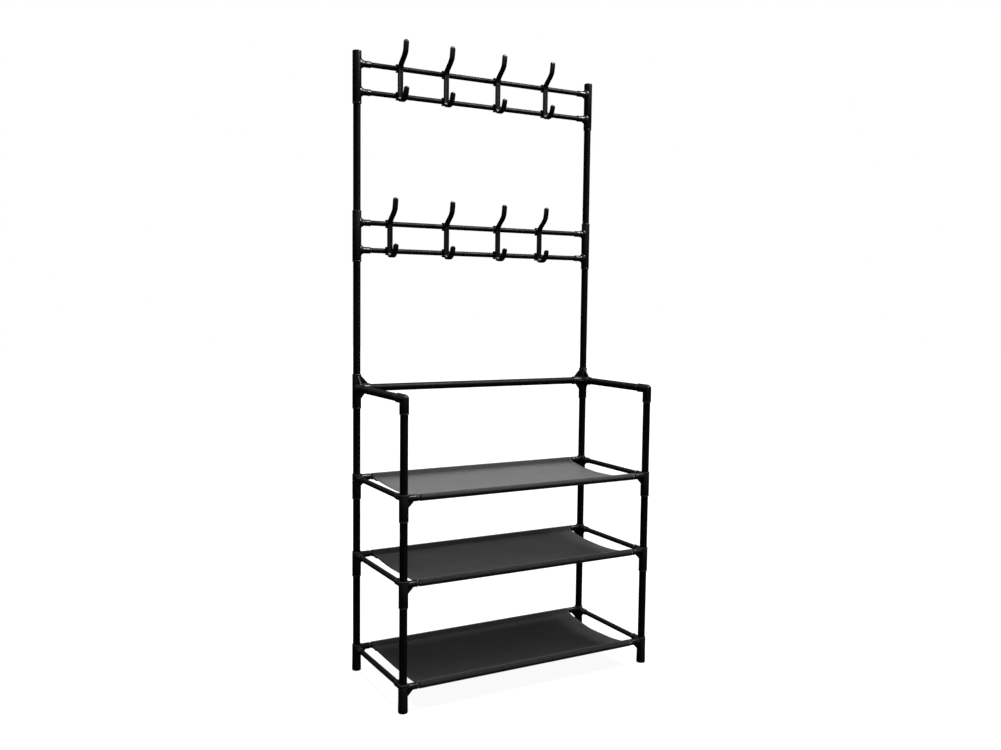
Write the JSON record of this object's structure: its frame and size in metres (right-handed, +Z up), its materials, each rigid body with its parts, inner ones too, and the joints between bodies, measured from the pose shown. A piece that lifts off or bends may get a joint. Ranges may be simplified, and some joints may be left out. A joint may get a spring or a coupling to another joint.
{
  "type": "hall tree",
  "caption": "Free-standing tube hall tree with cloth shoe shelves below, forward arms, and twin-rod rails carrying sliding double coat hooks.",
  "frame": {"origin": "centre of the overall footprint, on the floor under the four feet", "axes": "+X to the user's right, +Y to the back (the tall uprights), +Z up"},
  "size_m": [0.6038, 0.2718, 1.3558],
  "materials": {
    "tube": "satin black powder coat",
    "connector": "fine matt moulded black",
    "hook": "semi-gloss moulded black",
    "cloth": "dark grey coated non-woven cloth"
  },
  "bodies": {
    "frame": {"leg_tube_front_left": "tube", "leg_tube_rear_left": "tube", "arm_post_tube_left": "tube", "back_post_tube_left": "tube", "mast_tube_left": "tube", "arm_tube_left": "tube", "bottom_shelf_side_rail_left": "tube", "middle_shelf_side_rail_left": "tube", "top_shelf_side_rail_left": "tube", "leg_tube_front_right": "tube", "leg_tube_rear_right": "tube", "arm_post_tube_right": "tube", "back_post_tube_right": "tube", "mast_tube_right": "tube", "arm_tube_right": "tube", "bottom_shelf_side_rail_right": "tube", "middle_shelf_side_rail_right": "tube", "top_shelf_side_rail_right": "tube", "bottom_shelf_rod_front": "tube", "bottom_shelf_rod_rear": "tube", "middle_shelf_rod_front": "tube", "middle_shelf_rod_rear": "tube", "top_shelf_rod_front": "tube", "top_shelf_rod_rear": "tube", "arm_level_back_rod": "tube", "upper_rail_rod_top": "tube", "upper_rail_rod_bottom": "tube", "lower_rail_rod_top": "tube", "lower_rail_rod_bottom": "tube", "foot_front_left": "connector", "middle_shelf_connector_front_left": "connector", "top_shelf_connector_front_left": "connector", "foot_rear_left": "connector", "middle_shelf_connector_rear_left": "connector", "top_shelf_connector_rear_left": "connector", "cross_connector_left": "connector", "elbow_connector_left": "connector", "lower_hook_connector_left": "connector", "upper_hook_connector_left": "connector", "foot_front_right": "connector", "middle_shelf_connector_front_right": "connector", "top_shelf_connector_front_right": "connector", "foot_rear_right": "connector", "middle_shelf_connector_rear_right": "connector", "top_shelf_connector_rear_right": "connector", "cross_connector_right": "connector", "elbow_connector_right": "connector", "lower_hook_connector_right": "connector", "upper_hook_connector_right": "connector", "bottom_shelf_cloth": "cloth", "middle_shelf_cloth": "cloth", "top_shelf_cloth": "cloth"},
    "upper_hook_1": {"upper_hook_1": "hook"},
    "upper_hook_2": {"upper_hook_2": "hook"},
    "upper_hook_3": {"upper_hook_3": "hook"},
    "upper_hook_4": {"upper_hook_4": "hook"},
    "lower_hook_1": {"lower_hook_1": "hook"},
    "lower_hook_2": {"lower_hook_2": "hook"},
    "lower_hook_3": {"lower_hook_3": "hook"},
    "lower_hook_4": {"lower_hook_4": "hook"}
  },
  "joints": [
    {"name": "upper_hook_1_slide", "type": "slide", "parent": "frame", "child": "upper_hook_1", "axis": [1, 0, 0], "range_m": [-0.058, 0.0475]},
    {"name": "upper_hook_2_slide", "type": "slide", "parent": "frame", "child": "upper_hook_2", "axis": [1, 0, 0], "range_m": [-0.0475, 0.0575]},
    {"name": "upper_hook_3_slide", "type": "slide", "parent": "frame", "child": "upper_hook_3", "axis": [1, 0, 0], "range_m": [-0.0575, 0.056]},
    {"name": "upper_hook_4_slide", "type": "slide", "parent": "frame", "child": "upper_hook_4", "axis": [1, 0, 0], "range_m": [-0.056, 0.088]},
    {"name": "lower_hook_1_slide", "type": "slide", "parent": "frame", "child": "lower_hook_1", "axis": [1, 0, 0], "range_m": [-0.035, 0.0605]},
    {"name": "lower_hook_2_slide", "type": "slide", "parent": "frame", "child": "lower_hook_2", "axis": [1, 0, 0], "range_m": [-0.0605, 0.058]},
    {"name": "lower_hook_3_slide", "type": "slide", "parent": "frame", "child": "lower_hook_3", "axis": [1, 0, 0], "range_m": [-0.058, 0.0485]},
    {"name": "lower_hook_4_slide", "type": "slide", "parent": "frame", "child": "lower_hook_4", "axis": [1, 0, 0], "range_m": [-0.0485, 0.099]}
  ]
}
